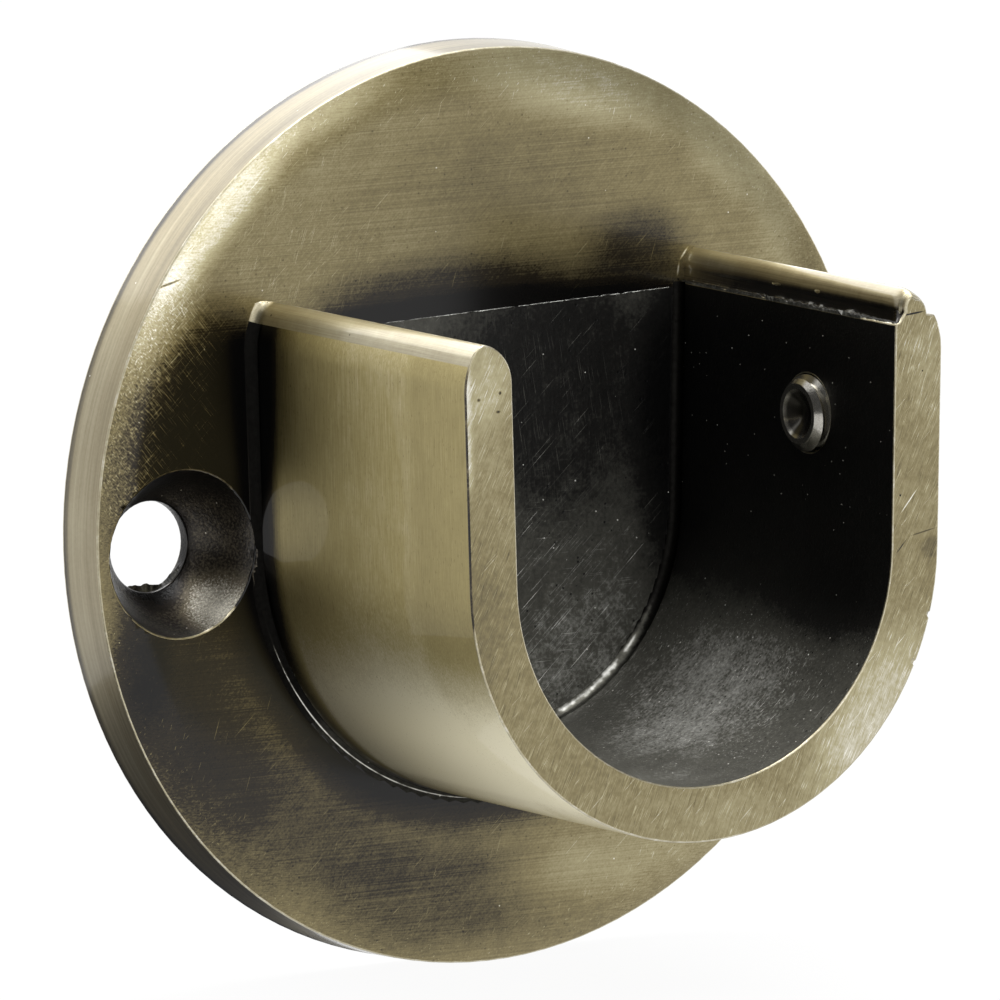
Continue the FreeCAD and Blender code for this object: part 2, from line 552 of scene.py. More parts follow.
@dataclass(frozen=True)
class BrassFinish:
    """Antique brass plating on zinc: darkened, relieved on a belt and clear-lacquered.

    The level is the tone of the plain surface, and each mark is laid over those before it.
    """

    name: str
    level: float
    marks: tuple[Mark, ...]
    tones: Tones = Tones.AGED
    roughness: float = 0.4
    coat: float = 1.0
    coat_roughness: float = 0.04
    coat_follows_grain: bool = False
    metallic: float = 1.0
    specular: float = 0.5

    def material(self) -> Material:
        """Build the finish as a node material.

        Returns:
            The material, with every pattern in Object coordinates.
        """
        material = new_material(self.name)
        layers = Layers(material.node_tree, self.level)
        for mark in self.marks:
            mark.lay(layers)
        ramp = layers.add("ValToRGB", {"Fac": layers.tone})
        stops = ramp.color_ramp.elements
        while len(stops) < len(self.tones.value):
            stops.new(0.5)
        for stop, (position, code) in zip(stops, self.tones.value):
            stop.position = position
            stop.color = linear(code)
        # The height is in millimetres, and the distance turns it to metres.
        bump = layers.add("Bump", {"Height": layers.height, "Strength": 1.0, "Distance": MM})
        inputs = {
            "Base Color": ramp,
            "Metallic": self.metallic,
            "Roughness": self.roughness,
            "Specular IOR Level": self.specular,
            "Coat Weight": self.coat,
            "Coat Roughness": self.coat_roughness,
            "Normal": bump,
        }
        if self.coat_follows_grain:
            inputs["Coat Normal"] = bump
        layers.add("OutputMaterial", {"Surface": layers.add("BsdfPrincipled", inputs)})
        return material


class Zone(Enum):
    """Surfaces of the casting that got their own finish, by their material's number."""

    BACK = 0
    RIM = 1
    FACE = 2
    WALL = 3
    CORE = 4
    CROWN = 5
    FRONT = 6
    SINKING = 7
    EDGE = 8
    ROOT = 9
    FOOT = 10


DUST = Specks(1.5, 0.06, 0.5, 0.7, 10.0)

# Places that marks are kept to.
LEFT_OF_CUP = Patch(-25.5, 8.5, 7.0, 12.0, core=0.5)
ABOVE_LEFT = Patch(-14.0, 17.5, 8.0, 6.0, core=0.4)
ROUND_CUP = Patch(0.0, -14.0, 60.0, 29.0, core=0.93)
CORE_PLATE = Patch(3.0, -5.0, 14.0, 13.0, core=0.2, y=-4.95, half_depth=6.0)
CORE_TOP = Patch(2.0, 6.0, 14.0, 9.0, core=0.3, y=-4.95, half_depth=3.0)
BOWL_LIP = Patch(-20.6, -4.9, 3.4, 1.8, core=0.1, turn_deg=-48.0)
# Where the painted highlight in the inner root fillet lies.
ROOT_HIGHLIGHT = Patch(7.6, -11.8, 9.0, 3.6, core=0.2, turn_deg=-36.0)

# Plated and never brushed: dull and even.
BACK_MARKS = (Clouds(9.0, 0.2), Clouds(0.4, 0.3, 8.0), Clouds(0.12, 0.16, 2.0))

# Brushed while it turned: pale, with fine lines that run round, and painted shade on the lower left,
# on the upper left and along the back edge.
RIM_MARKS = (
    Clouds(9.0, 0.16),
    Clouds(0.25, 0.08, 2.0),
    # Painted shade: the lower left and the upper left of the rim are made darker.
    Patch(-12.0, -28.0, 16.0, 8.0, -0.16, turn_deg=30.0),
    Patch(-20.0, -22.0, 9.0, 9.0, -0.12),
    Patch(-11.5, 25.0, 22.0, 9.0, -0.13, turn_deg=-28.0),
    # Painted shade along the back edge; the next line makes the rim a little darker towards the front.
    DepthShade(-1.3, -0.7, -0.28),
    DepthShade(-2.4, -3.4, -0.06),
    TurnedLines(0.25, 0.3, 2.0),
    DUST,
)

# Brushed across, with painted shade and dark patina round the foot of the cup, and soft painted
# highlights and painted shade over the rest of the plate.
FACE_MARKS = (
    Clouds(9.0, 0.16),
    Clouds(0.14, 0.24, 1.6),
    Clouds(1.1, 0.1),
    # Painted shade and painted highlights: soft darker and lighter places over the plate.
    Patch(-21.4, 6.8, 7.4, 10.4, -0.62),
    Patch(-22.0, -9.0, 10.0, 15.0, -0.3),
    Patch(-14.0, -19.0, 13.0, 8.0, -0.2),
    Patch(-5.0, -25.0, 12.0, 5.5, -0.22),
    Patch(9.0, -24.0, 14.0, 3.2, 0.12, turn_deg=-8.0),
    Patch(-3.0, 13.2, 15.0, 4.6, -0.3, core=0.4),
    Patch(11.5, 15.6, 6.0, 4.6, -0.26),
    Patch(-25.5, 15.0, 5.0, 6.0, 0.2),
    Patch(22.6, 18.8, 3.0, 8.0, 0.14),
    Patch(-26.8, -7.5, 3.0, 7.0, -0.2),
    Patch(2.0, 21.5, 14.0, 5.0, -0.05),
    Patch(-20.4, 20.6, 11.0, 2.2, 0.3, turn_deg=-45.0),
    Patch(-12.2, 26.8, 7.0, 2.0, 0.16, turn_deg=-22.0),
    Patch(7.0, 27.0, 13.0, 3.6, 0.24, turn_deg=14.0),
    Patch(18.5, 22.0, 6.0, 3.4, 0.2, turn_deg=48.0),
    Patch(-27.2, 2.5, 4.4, 9.5, -0.2),
    Patch(-25.0, -13.0, 6.0, 8.0, -0.08),
    Patch(4.0, -27.0, 9.0, 3.0, -0.06),
    # Painted shade and dark patina round the foot of the cup.
    CupShade(18.0, 21.5, -0.5, ROUND_CUP),
    Brushing(Run.ACROSS, 0.08, 14.0, 0.3, 2.4),
    Brushing(Run.RISING, 0.08, 5.0, 0.16, 1.6),
    Brushing(Run.RISING, 0.06, 1.2, 0.24, 3.0, LEFT_OF_CUP),
    Brushing(Run.FALLING, 0.06, 1.6, 0.6, 4.0, LEFT_OF_CUP),
    Scratches(Run.FALLING, 0.05, 1.6, 0.66, 0.3, 3.0, LEFT_OF_CUP),
    Scratches(Run.RISING, 0.05, 1.8, 0.7, 0.24, 3.0, LEFT_OF_CUP),
    Scratches(Run.STEEP, 0.05, 1.8, 0.72, 0.24, 4.0, ABOVE_LEFT),
    Scratches(Run.RISING, 0.05, 1.2, 0.72, 0.2, 4.0, ABOVE_LEFT),
    Patch.between((-25.5, 16.1), (-23.2, 16.8), 0.2, -0.6),
    # Painted highlight: light lines along the root of the right crown.
    Patch.between((14.55, 13.7), (14.75, 14.9), 0.22, 0.6),
    Patch.between((14.7, 14.8), (15.5, 15.8), 0.22, 0.6),
    Scratches(Run.STEEP, 0.05, 2.5, 0.79, 0.25),
    Scratches(Run.RISING, 0.05, 3.0, 0.79, 0.25),
    Specks(0.5, 0.09, 0.4, -0.12, -5.0),
    DUST,
)

# Brushed upright: golden and satin, made dark towards the plate by painted shade and patina, with a
# painted highlight on the lower left and painted shade at the front and the top left.
WALL_MARKS = (
    Clouds(9.0, 0.1),
    Clouds(0.3, 0.06, 2.0),
    Clouds(1.6, 0.08),
    # Painted shade and patina towards the plate, painted shade at the front.
    DepthShade(-8.2, -5.9, -0.66),
    DepthShade(-18.0, -7.0, -0.1),
    DepthShade(-22.5, -24.5, -0.07),
    # Painted highlight on the lower left, painted shade by the plate at the top left.
    Patch(-12.0, -12.5, 10.0, 11.0, 0.34),
    Patch(-18.2, 11.0, 6.0, 9.0, -0.34, y=-5.5, half_depth=5.5),
    Brushing(Run.UPRIGHT, 0.05, 40.0, 0.3, 1.6),
    Brushing(Run.UPRIGHT, 0.16, 25.0, 0.12, 1.0),
    Scratches(Run.LEANING, 0.05, 1.5, 0.77, -0.25, 3.0),
)

# As cast and blackened: grainy, only touched by the wheel here and there, with painted shade on the
# right wall and the upper plate and painted highlights on the floor and the plate's lower left.
CORE_MARKS = (
    Clouds(7.0, 0.22),
    Clouds(0.22, 0.34, 18.0),
    Clouds(0.9, 0.2),
    # Painted shade on the right wall and the upper plate, painted highlights on the plate's lower left
    # and on the floor of the cup.
    Patch(16.0, 4.0, 6.0, 17.0, -0.46, core=0.4),
    Patch(5.0, 7.0, 13.0, 11.0, -0.28, y=-4.95, half_depth=5.0, core=0.4),
    Patch(6.6, -10.0, 8.0, 6.5, 0.08, y=-4.95, half_depth=3.0, turn_deg=-30.0),
    Patch(8.0, -11.0, 12.0, 8.0, 0.13, y=-16.5, half_depth=11.5),
    Patch(14.5, -6.0, 3.0, 5.0, -0.2, y=-24.0, half_depth=9.0),
    Brushing(Run.UPRIGHT, 0.12, 2.5, 0.22, 6.0, CORE_TOP),
    Scratches(Run.LEANING, 0.05, 2.6, 0.72, 0.3, 5.0, CORE_TOP),
    Scratches(Run.RISING, 0.05, 2.6, 0.69, 0.15, 4.0, CORE_PLATE),
    Scratches(Run.ACROSS, 0.05, 2.4, 0.75, 0.18, 4.0, CORE_PLATE),
    Scratches(Run.RISING, 0.05, 3.5, 0.77, 0.3, 5.0),
    Specks(0.8, 0.06, 0.4, 1.1, 12.0),
    Specks(0.55, 0.1, 0.25, -0.3, -12.0),
)

# Rubbed bright along the top of the walls, with painted shade on the right crown's top at the front
# and under its inner foot, and a painted highlight towards its back end.
CROWN_MARKS = (
    Clouds(9.0, 0.12),
    Clouds(0.25, 0.1, 2.5),
    Clouds(1.3, 0.14),
    # Painted shade and painted highlight on the right crown.
    Patch(16.6, 15.2, 3.0, 1.4, -0.1),
    Patch(16.1, 14.2, 3.0, 3.0, 0.2, y=-7.0, half_depth=7.0),
    Patch(15.0, 14.0, 1.0, 0.9, -0.5, core=0.3),
    Brushing(Run.OUTWARD, 0.08, 6.0, 0.3, 2.5),
    Specks(1.8, 0.12, 0.2, -0.4, -20.0),
)

# Ground flat, with short coarse lines and pits, soft painted highlights and painted shade, and painted
# shadow and highlight lines that draw the creases under the crowns and the step at the right.
FRONT_MARKS = (
    Clouds(5.0, 0.16),
    Clouds(0.9, 0.2),
    Clouds(0.3, 0.2, 5.0),
    # Painted highlights and painted shade: soft lighter and darker places on the front faces.
    Patch(12.6, -11.8, 4.5, 10.0, 0.28, turn_deg=38.0),
    Patch(-17.0, 12.6, 3.5, 4.5, 0.2),
    Patch(-17.0, 8.0, 3.0, 4.0, 0.07),
    Patch(-17.2, -3.5, 3.5, 8.0, -0.1),
    Patch(2.0, -17.5, 7.0, 3.0, 0.06),
    Patch(17.2, 10.5, 3.0, 5.5, 0.08),
    Patch(17.4, -1.1, 1.2, 0.9, -0.12, core=0.5),
    # Painted shadow line along the crease under the right crown.
    Patch.between((15.1, 14.02), (17.15, 14.2), 0.16, -0.8),
    # Painted shadow and highlight lines that draw the step at the right.
    Patch.between((14.6, -1.5), (15.7, -0.3), 0.14, -0.3),
    Patch.between((15.5, -0.35), (18.2, 0.15), 0.14, -0.28),
    Patch.between((14.8, 0.9), (16.7, 3.1), 0.12, 0.6),
    # Painted shadow line of the step under the left crown.
    Patch.between((-18.05, 13.6), (-17.5, 14.6), 0.14, -0.6),
    Patch(-17.3, 11.3, 0.2, 0.16, -0.5, core=0.2),
    Patch(-15.68, 11.63, 0.16, 0.18, -0.5, core=0.2),
    Patch(-15.84, 10.43, 0.24, 0.14, -0.45, core=0.2),
    # Painted highlight along the left leg's outer front edge.
    CupShade(17.9, 17.3, 0.24, Patch(-18.0, 9.5, 3.0, 5.5, core=0.5)),
    Brushing(Run.GROUND, 0.08, 1.4, 0.24, 4.0),
    Brushing(Run.STEEP, 0.06, 3.0, 0.12, 2.0),
    Scratches(Run.GROUND, 0.05, 1.6, 0.68, 0.2, 4.0),
    Scratches(Run.STEEP, 0.05, 2.4, 0.68, -0.12, 3.0),
    Scratches(Run.RISING, 0.05, 2.6, 0.77, 0.3, 5.0),
    Scratches(Run.STEEP, 0.06, 1.4, 0.66, 0.2, 4.0, Patch(17.0, 11.0, 4.0, 6.0, core=0.4)),
    Specks(1.2, 0.13, 0.22, -0.7, -30.0, Patch(-17.0, 11.5, 4.0, 5.0, core=0.4)),
    Specks(2.4, 0.08, 0.3, -0.5, -25.0),
)

# As cast: grainy and brown-black, with a painted highlight towards the bowl's lower right lip and
# painted shade at its left, at its top and deep down by the hole.
SINKING_MARKS = (
    Clouds(0.16, 0.6, 26.0),
    Clouds(1.2, 0.2),
    # Painted highlight at the lower right lip, painted shade at the left, deep down by the hole and at
    # the top.
    Patch(-20.5, -4.9, 3.6, 1.9, 0.52, core=0.1, turn_deg=-48.0),
    Patch(-23.5, -3.7, 2.6, 1.8, -0.34, core=0.3),
    DepthShade(-1.3, -0.7, -0.3),
    Patch(-23.0, 3.2, 5.0, 2.0, -0.12),
    Scratches(Run.ACROSS, 0.1, 0.14, 0.6, 0.3, within=BOWL_LIP),
    Specks(1.0, 0.06, 0.3, 0.6, 10.0),
)

# Where the belt went through the patina: bright, with painted shade in and round the left hole and at
# the left foot of the cup, and a darker strip along the left leg's outer front edge.
EDGE_MARKS = (
    Clouds(0.8, 0.5),
    Clouds(0.15, 0.3, 6.0),
    # Painted shade round and inside the left hole and at the left foot of the cup; the last line makes
    # the left leg's outer front edge darker.
    Patch(-23.7, 2.5, 7.0, 4.2, -0.45, core=0.6),
    Patch(-18.3, -1.0, 2.2, 6.0, -0.9, y=-4.95, half_depth=2.0, core=0.8),
    Patch(-23.7, -1.05, 4.2, 4.2, -0.7, y=-0.8, half_depth=1.2, core=0.8),
    Patch(-18.3, 3.0, 0.8, 12.0, -0.5, y=-29.8, half_depth=2.0, core=0.8),
)

# Blackened, with a painted highlight along the inner root fillet at the bottom of the cup.
ROOT_MARKS = (
    Clouds(0.3, 0.3, 8.0),
    # Painted highlight: a soft light patch and a light line along the fillet.
    Patch(7.6, -11.8, 8.0, 3.6, 0.3, core=0.1, turn_deg=-36.0),
    CupLine(14.08, 0.27, 0.55, ROOT_HIGHLIGHT),
)

# Dry patina in the corner that no belt reaches: black, without gloss, lighter round the bottom of the
# U, with a painted highlight line along the crease.
FOOT_MARKS = (
    Clouds(0.3, 0.2, 8.0),
    Patch(-7.5, -17.0, 14.0, 9.0, 0.24, core=0.5),
    # Painted highlight: a thin light line along the crease.
    CupLine(18.26, 0.055, 1.0, Patch(-10.5, -15.0, 11.0, 13.0, core=0.6)),
    Specks(0.9, 0.06, 0.4, 0.7, 10.0),
)

FINISHES: dict[Zone, BrassFinish] = {
    Zone.BACK: BrassFinish(
        "plated_back", 0.42, BACK_MARKS, roughness=0.5, coat=0.5, coat_roughness=0.3
    ),
    Zone.RIM: BrassFinish("brushed_rim", 0.58, RIM_MARKS, Tones.RUBBED, coat=0.8, coat_roughness=0.12),
    Zone.FACE: BrassFinish(
        "brushed_face", 0.5, FACE_MARKS, roughness=0.38, coat=0.7, coat_roughness=0.17
    ),
    Zone.WALL: BrassFinish("brushed_wall", 0.76, WALL_MARKS, Tones.GOLDEN, roughness=0.46, coat=0.25),
    Zone.CORE: BrassFinish(
        "cast_core",
        0.55,
        CORE_MARKS,
        Tones.CAST,
        roughness=0.66,
        coat=0.5,
        coat_roughness=0.3,
        coat_follows_grain=True,
    ),
    Zone.CROWN: BrassFinish(
        "polished_crown", 0.64, CROWN_MARKS, Tones.RUBBED, roughness=0.38, coat_roughness=0.12
    ),
    Zone.FRONT: BrassFinish(
        "ground_front", 0.53, FRONT_MARKS, roughness=0.42, coat=0.8, coat_roughness=0.12
    ),
    Zone.SINKING: BrassFinish(
        "cast_sinking",
        0.34,
        SINKING_MARKS,
        Tones.BOWL,
        roughness=0.42,
        coat=0.5,
        coat_roughness=0.2,
        coat_follows_grain=True,
    ),
    Zone.EDGE: BrassFinish(
        "bright_edge", 0.74, EDGE_MARKS, Tones.RUBBED, roughness=0.38, coat=0.8, coat_roughness=0.15
    ),
    Zone.ROOT: BrassFinish("inner_root", 0.16, ROOT_MARKS, Tones.CAST, roughness=0.42, coat=0.0),
    Zone.FOOT: BrassFinish(
        "outer_root", 0.12, FOOT_MARKS, Tones.CAST, roughness=0.9, coat=0.0, metallic=0.0, specular=0.0
    ),
}

# Torn metal, bright at its tips, with painted shade on the flash in the left hole.
TORN_FLASH = BrassFinish(
    "torn_flash",
    0.8,
    (Clouds(0.6, 0.6), Clouds(0.12, 0.4, 6.0), Patch(-23.7, -1.05, 5.0, 5.0, -0.42, core=0.8)),
    Tones.CAST,
    roughness=0.4,
    coat=0.6,
    coat_roughness=0.2,
)


def held(name: str, work: BMesh) -> Object:
    """Put a bmesh into the scene as an object and free it.

    Args:
        name: The object's name.
        work: The bmesh.

    Returns:
        The object.
    """
    mesh = bpy.data.meshes.new(name)
    work.to_mesh(mesh)
    work.free()
    piece = bpy.data.objects.new(name, mesh)
    bpy.context.scene.collection.objects.link(piece)
    return piece


def combined(base: Object, tool: Object, operation: str) -> None:
    """Cut, join or intersect a mesh with another for good, and remove the other.

    Args:
        base: The object that keeps the result.
        tool: The object that is used up.
        operation: A Boolean modifier's operation.
    """
    modifier = base.modifiers.new("combined", "BOOLEAN")
    modifier.object = tool
    modifier.operation = operation
    modifier.solver = "EXACT"
    graph = bpy.context.evaluated_depsgraph_get()
    result = bpy.data.meshes.new_from_object(base.evaluated_get(graph))
    base.modifiers.clear()
    old = base.data
    result.name = old.name
    base.data = result
    bpy.data.meshes.remove(old)
    bpy.data.objects.remove(tool)


def spun(outline: list[Pair], steps: int, turns: int = 1, pitch: float = 0.0) -> BMesh:
    """Turn an outline about Z, into a closed round shape or into a helix.

    Args:
        outline: Radius and height of each point, in millimetres.
        steps: Segments round one turn.
        turns: How many turns.
        pitch: Rise of one turn, 0 for a round shape.

    Returns:
        A bmesh in millimetres.
    """
    work = bmesh.new()
    verts = [work.verts.new((radius, 0.0, height)) for radius, height in outline]
    edges = [work.edges.new(pair) for pair in zip(verts, verts[1:])]
    bmesh.ops.spin(
        work,
        geom=verts + edges,
        cent=NONE,
        axis=(0.0, 0.0, 1.0),
        dvec=(0.0, 0.0, pitch / steps),
        angle=2.0 * math.pi * turns,
        steps=steps * turns,
        use_merge=pitch == 0.0,
    )
    bmesh.ops.remove_doubles(work, verts=work.verts, dist=0.1 * TOUCH)
    return work


@dataclass(frozen=True)
class Gouge:
    """Dent or crack: a stretched ball that is cut into the surface."""

    at: Triple
    size: Triple
    turn_y_deg: float = 0.0

    def add_to(self, work: BMesh) -> None:
        """Add the ball to the cutting shape.

        Args:
            work: The cutting shape, in metres.
        """
        ball = bmesh.ops.create_icosphere(work, subdivisions=2, radius=0.5)
        place = Matrix.Translation(Vector(self.at) * MM)
        turn = Matrix.Rotation(math.radians(self.turn_y_deg), 4, "Y")
        size = Matrix.Diagonal(Vector(self.size) * MM).to_4x4()
        bmesh.ops.transform(work, matrix=place @ turn @ size, verts=ball["verts"])


@dataclass(frozen=True)
class Fin:
    """Ragged fin of flash left where the halves of the die met, in millimetres.

    It leans one way from its path, and stands up in waves from the share least to the whole
    height. A larger gap leaves more of it low, and ragged says how torn and bent its tip is.
    """

    path: tuple[Triple, ...]
    lean: Triple
    width: float
    height: float
    gap: float
    seed: int
    step: float = 0.13
    ragged: float = 0.35
    sunk: float = 0.04
    least: float = 0.06
    wave: float = 0.9
    torn: Pair = (-1.2, 0.8)
    bent: Pair = (-0.8, 0.8)

    def spine(self) -> list[Vector]:
        """Walk along the path in even steps.

        Returns:
            Points in millimetres.
        """
        points = [Vector(point) for point in self.path]
        walked = []
        for start, end in zip(points, points[1:]):
            count = max(1, round((end - start).length / self.step))
            walked += [start.lerp(end, index / count) for index in range(count)]
        return walked + [points[-1]]

    def add_to(self, work: BMesh) -> None:
        """Loft a three-cornered section with a ragged tip along the path.

        Args:
            work: The flash, in metres.
        """
        chance = random.Random(self.seed)
        lean = Vector(self.lean).normalized()
        spine = self.spine()
        rings = []
        for index, point in enumerate(spine):
            ahead = spine[min(index + 1, len(spine) - 1)] - spine[max(index - 1, 0)]
            side = ahead.normalized().cross(lean).normalized()
            wave = noise.noise(Vector((index * self.step / self.wave, self.seed, 0.0)))
            whole = wave + 0.5 - self.gap
            torn = 1.0 + self.ragged * chance.uniform(*self.torn)
            tall = self.height * max(self.least, whole * torn)
            drift = side * chance.uniform(*self.bent) * self.ragged * tall
            corners = (
                point - side * 0.5 * self.width - lean * self.sunk,
                point + side * 0.5 * self.width - lean * self.sunk,
                point + lean * tall + drift,
            )
            rings.append([work.verts.new(corner * MM) for corner in corners])
        for near, far in zip(rings, rings[1:]):
            for corner in range(3):
                after = (corner + 1) % 3
                work.faces.new((near[corner], near[after], far[after], far[corner]))
        work.faces.new(rings[0])
        work.faces.new(rings[-1][::-1])


@dataclass
class Casting:
    """Wall plate and cup: the CAD solid with its edges rubbed round and its surfaces finished.

    Lengths in millimetres. The faces_ fields say how nearly a face looks one way, 1 being
    straight, and the crown_ fields how the front end of the right crown is drawn in.
    """

    node: str = "bracket_casting"
    body: str = "bracket"
    slot: str = "antique_brass"
    plate_thickness: float = 4.95
    rim_inside: float = 29.4
    parting_z: float = 13.5
    parting_left: float = 12.5
    parting_slope: float = 0.0234
    hole_x: float = 23.7
    hole_z: float = -1.05
    sink_radius: float = 5.6
    back_depth: float = 0.5
    faces_hole: float = 0.1
    faces_back: float = 0.5
    faces_rim: float = 0.8
    faces_front: float = 0.9
    merge: float = 0.0005
    weld: float = 0.0001
    sliver: float = 0.00001
    plane_merge: float = 0.0001
    flat_deg: float = 0.3
    sharp_deg: float = 24.0
    edge_round: float = 0.11
    ledge: float = 0.12
    crown_middle: Pair = (16.1, 14.1)
    crown_inset: float = 0.5
    crown_reach: float = 1.25
    crown_cuts: tuple[float, ...] = (1.0, 0.72, 0.46, 0.22)
    crown_rise: float = 0.8
    crown_outside: float = 17.3
    crown_fade: float = 0.9
    crown_least: float = 0.15
    gouges: tuple[Gouge, ...] = (
        Gouge((-24.3, -4.85, 16.45), (2.6, 0.34, 0.1), -17.0),
        Gouge((-15.9, -4.45, 24.0), (0.9, 0.3, 0.22), 50.0),
        Gouge((17.45, -CUP.front, -5.6), (0.9, 0.6, 0.5), 30.0),
        Gouge((16.15, -CUP.front, -8.55), (0.8, 0.5, 0.4), 45.0),
        Gouge((15.2, -20.3, 14.55), (0.35, 0.8, 0.3)),
        Gouge((15.15, -15.6, 14.5), (0.3, 1.1, 0.22)),
        Gouge((-18.62, -CUP.front, 8.9), (0.3, 0.5, 1.4)),
        Gouge((-18.5, -CUP.front, 5.9), (0.26, 0.4, 0.8)),
    )

    def parting_at(self, x: float) -> float:
        """Give the height of the die's parting line on the plate, between the walls."""
        return self.parting_left + (x + CUP.seat_radius) * self.parting_slope

    def zone(self, face: BMFace) -> Zone:
        """Say which surface a face belongs to.

        Args:
            face: A face of the casting, in metres.

        Returns:
            Its zone.
        """
        centre = face.calc_center_median() / MM
        out = -face.normal.y
        hole_x = math.copysign(self.hole_x, centre.x)
        to_axis = Vector((hole_x - centre.x, 0.0, self.hole_z - centre.z))
        faces_axis = to_axis.normalized().dot(face.normal) > self.faces_hole
        if to_axis.length < self.sink_radius and faces_axis:
            return Zone.SINKING
        if centre.y > -self.plate_thickness - TOUCH:
            return self.plate_zone(face, centre, out)
        if out > self.faces_front and centre.y < -CUP.front + NEAR:
            return Zone.FRONT
        if centre.z > self.parting_z + NEAR:
            return Zone.CROWN
        outside = CUP.distance(centre.x, centre.z) > CUP.seat_radius + 0.5 * CUP.wall_thickness
        if centre.y > -self.plate_thickness - CUP.root:
            return Zone.FOOT if outside else Zone.ROOT
        return Zone.WALL if outside else Zone.CORE

    def plate_zone(self, face: BMFace, centre: Vector, out: float) -> Zone:
        """Say which surface a face of the plate belongs to.

        Args:
            face: The face, in metres.
            centre: Its middle, in millimetres.
            out: How far it looks away from the wall, from -1 to 1.

        Returns:
            Its zone.
        """
        if out < -self.faces_back and centre.y > -self.back_depth:
            return Zone.BACK
        if math.hypot(centre.x, centre.z) > self.rim_inside and out < self.faces_rim:
            return Zone.RIM
        reach = max(CUP.distance(vert.co.x / MM, vert.co.z / MM) for vert in face.verts)
        if centre.z < self.parting_at(centre.x) and reach < CUP.seat_radius + NEAR:
            return Zone.CORE
        return Zone.FACE

    def split(
        self,
        work: BMesh,
        faces: list[BMFace],
        point: Vector,
        normal: Triple,
    ) -> None:
        """Split faces along a plane.

        Args:
            work: The casting, in metres.
            faces: The faces to split.
            point: A point on the plane, in metres.
            normal: The plane's normal.
        """
        edges = {edge for face in faces for edge in face.edges}
        verts = {vert for face in faces for vert in face.verts}
        parts = faces + list(edges) + list(verts)
        dist = self.plane_merge * MM
        bmesh.ops.bisect_plane(work, geom=parts, dist=dist, plane_co=point, plane_no=normal)

    def cut_parting_line(self, work: BMesh) -> None:
        """Split the plate's face along the parting line, so that the core below is its own zone.

        Args:
            work: The casting, in metres.
        """
        face_y = -self.plate_thickness * MM
        flat = [
            face
            for face in work.faces
            if abs(face.calc_center_median().y - face_y) < TOUCH * MM
        ]
        point = Vector((0.0, face_y, self.parting_at(0.0) * MM))
        self.split(work, flat, point, (-self.parting_slope, 0.0, 1.0))

    def round_crown_end(self, work: BMesh) -> None:
        """Draw the right crown in at its front end, where it was rubbed round.

        Args:
            work: The casting, in metres.
        """
        bottom = self.parting_z + self.ledge
        for share in self.crown_cuts:
            crown = []
            for face in work.faces:
                centre = face.calc_center_median() / MM
                long_face = -CUP.front + TOUCH < centre.y < -self.plate_thickness - CUP.root
                if centre.x > CUP.seat_radius and centre.z > bottom and long_face:
                    crown.append(face)
            depth = -(CUP.front - share * self.crown_reach) * MM
            self.split(work, crown, Vector((0.0, depth, 0.0)), (0.0, 1.0, 0.0))
        for vert in work.verts:
            place = vert.co / MM
            behind = place.y + CUP.front
            if place.x < CUP.seat_radius or place.z < bottom or behind > self.crown_reach:
                continue
            across = 1.0 - behind / self.crown_reach
            drawn = self.crown_inset * (1.0 - math.sqrt(max(0.0, 1.0 - across * across)))
            lift = min(1.0, (place.z - bottom) / self.crown_rise)
            side = (self.crown_outside - place.x) / self.crown_fade
            inwards = Vector(self.crown_middle) - Vector((place.x, place.z))
            inwards = inwards.normalized() * drawn * lift * min(1.0, max(self.crown_least, side))
            vert.co.x += inwards.x * MM
            vert.co.z += inwards.y * MM

    def bevel(self, work: BMesh) -> None:
        """Rub the sharp outer edges round and mark the new faces as bright edge.

        Args:
            work: The casting, in metres.
        """
        roots = (Zone.ROOT.value, Zone.FOOT.value)
        sharp = []
        for edge in work.edges:
            if len(edge.link_faces) == 2 and edge.is_convex:
                at_root = any(face.material_index in roots for face in edge.link_faces)
                if not at_root and edge.calc_face_angle() > math.radians(self.sharp_deg):
                    sharp.append(edge)
        bmesh.ops.bevel(
            work,
            geom=sharp,
            offset=self.edge_round * MM,
            offset_type="OFFSET",
            segments=2,
            profile=0.5,
            affect="EDGES",
            material=Zone.EDGE.value,
            clamp_overlap=False,
        )

    def worn(self, piece: Object) -> None:
        """Cut the dents into the casting.

        Args:
            piece: The casting.
        """
        work = bmesh.new()
        for gouge in self.gouges:
            gouge.add_to(work)
        for face in work.faces:
            face.material_index = Zone.EDGE.value
            face.smooth = True
        combined(piece, held("dents", work), "DIFFERENCE")
        work = bmesh.new()
        work.from_mesh(piece.data)
        bmesh.ops.dissolve_degenerate(work, dist=self.sliver * MM, edges=work.edges)
        bmesh.ops.remove_doubles(work, verts=work.verts, dist=self.weld * MM)
        open_edges = [edge for edge in work.edges if len(edge.link_faces) == 1]
        bmesh.ops.holes_fill(work, edges=open_edges)
        left = sum(1 for edge in work.edges if len(edge.link_faces) != 2)
        LOG.info("casting: %d faces, %d edges not closed", len(work.faces), left)
        work.to_mesh(piece.data)
        work.free()

    def build(self) -> Object:
        """Copy the CAD solid, round its edges and give each zone its finish.

        Returns:
            The casting that stands for the CAD node.
        """
        work = bmesh.new()
        work.from_mesh(bpy.data.objects[self.node].data)
        bmesh.ops.remove_doubles(work, verts=work.verts, dist=self.merge * MM)
        flat = math.radians(self.flat_deg)
        bmesh.ops.dissolve_limit(
            work, angle_limit=flat, verts=work.verts, edges=work.edges, delimit=set()
        )
        self.cut_parting_line(work)
        work.normal_update()
        for face in work.faces:
            face.material_index = self.zone(face).value
            face.smooth = True
        self.round_crown_end(work)
        work.normal_update()
        self.bevel(work)
        piece = held("casting", work)
        for zone in Zone:
            piece.data.materials.append(FINISHES[zone].material())
        self.worn(piece)
        piece.data.set_sharp_from_angle(angle=math.radians(self.sharp_deg))
        normals = piece.modifiers.new("flat_faces_stay_flat", "WEIGHTED_NORMAL")
        normals.mode = "FACE_AREA"
        normals.weight = 100
        normals.keep_sharp = True
        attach(piece, self.body)
        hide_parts(self.node)
        return piece


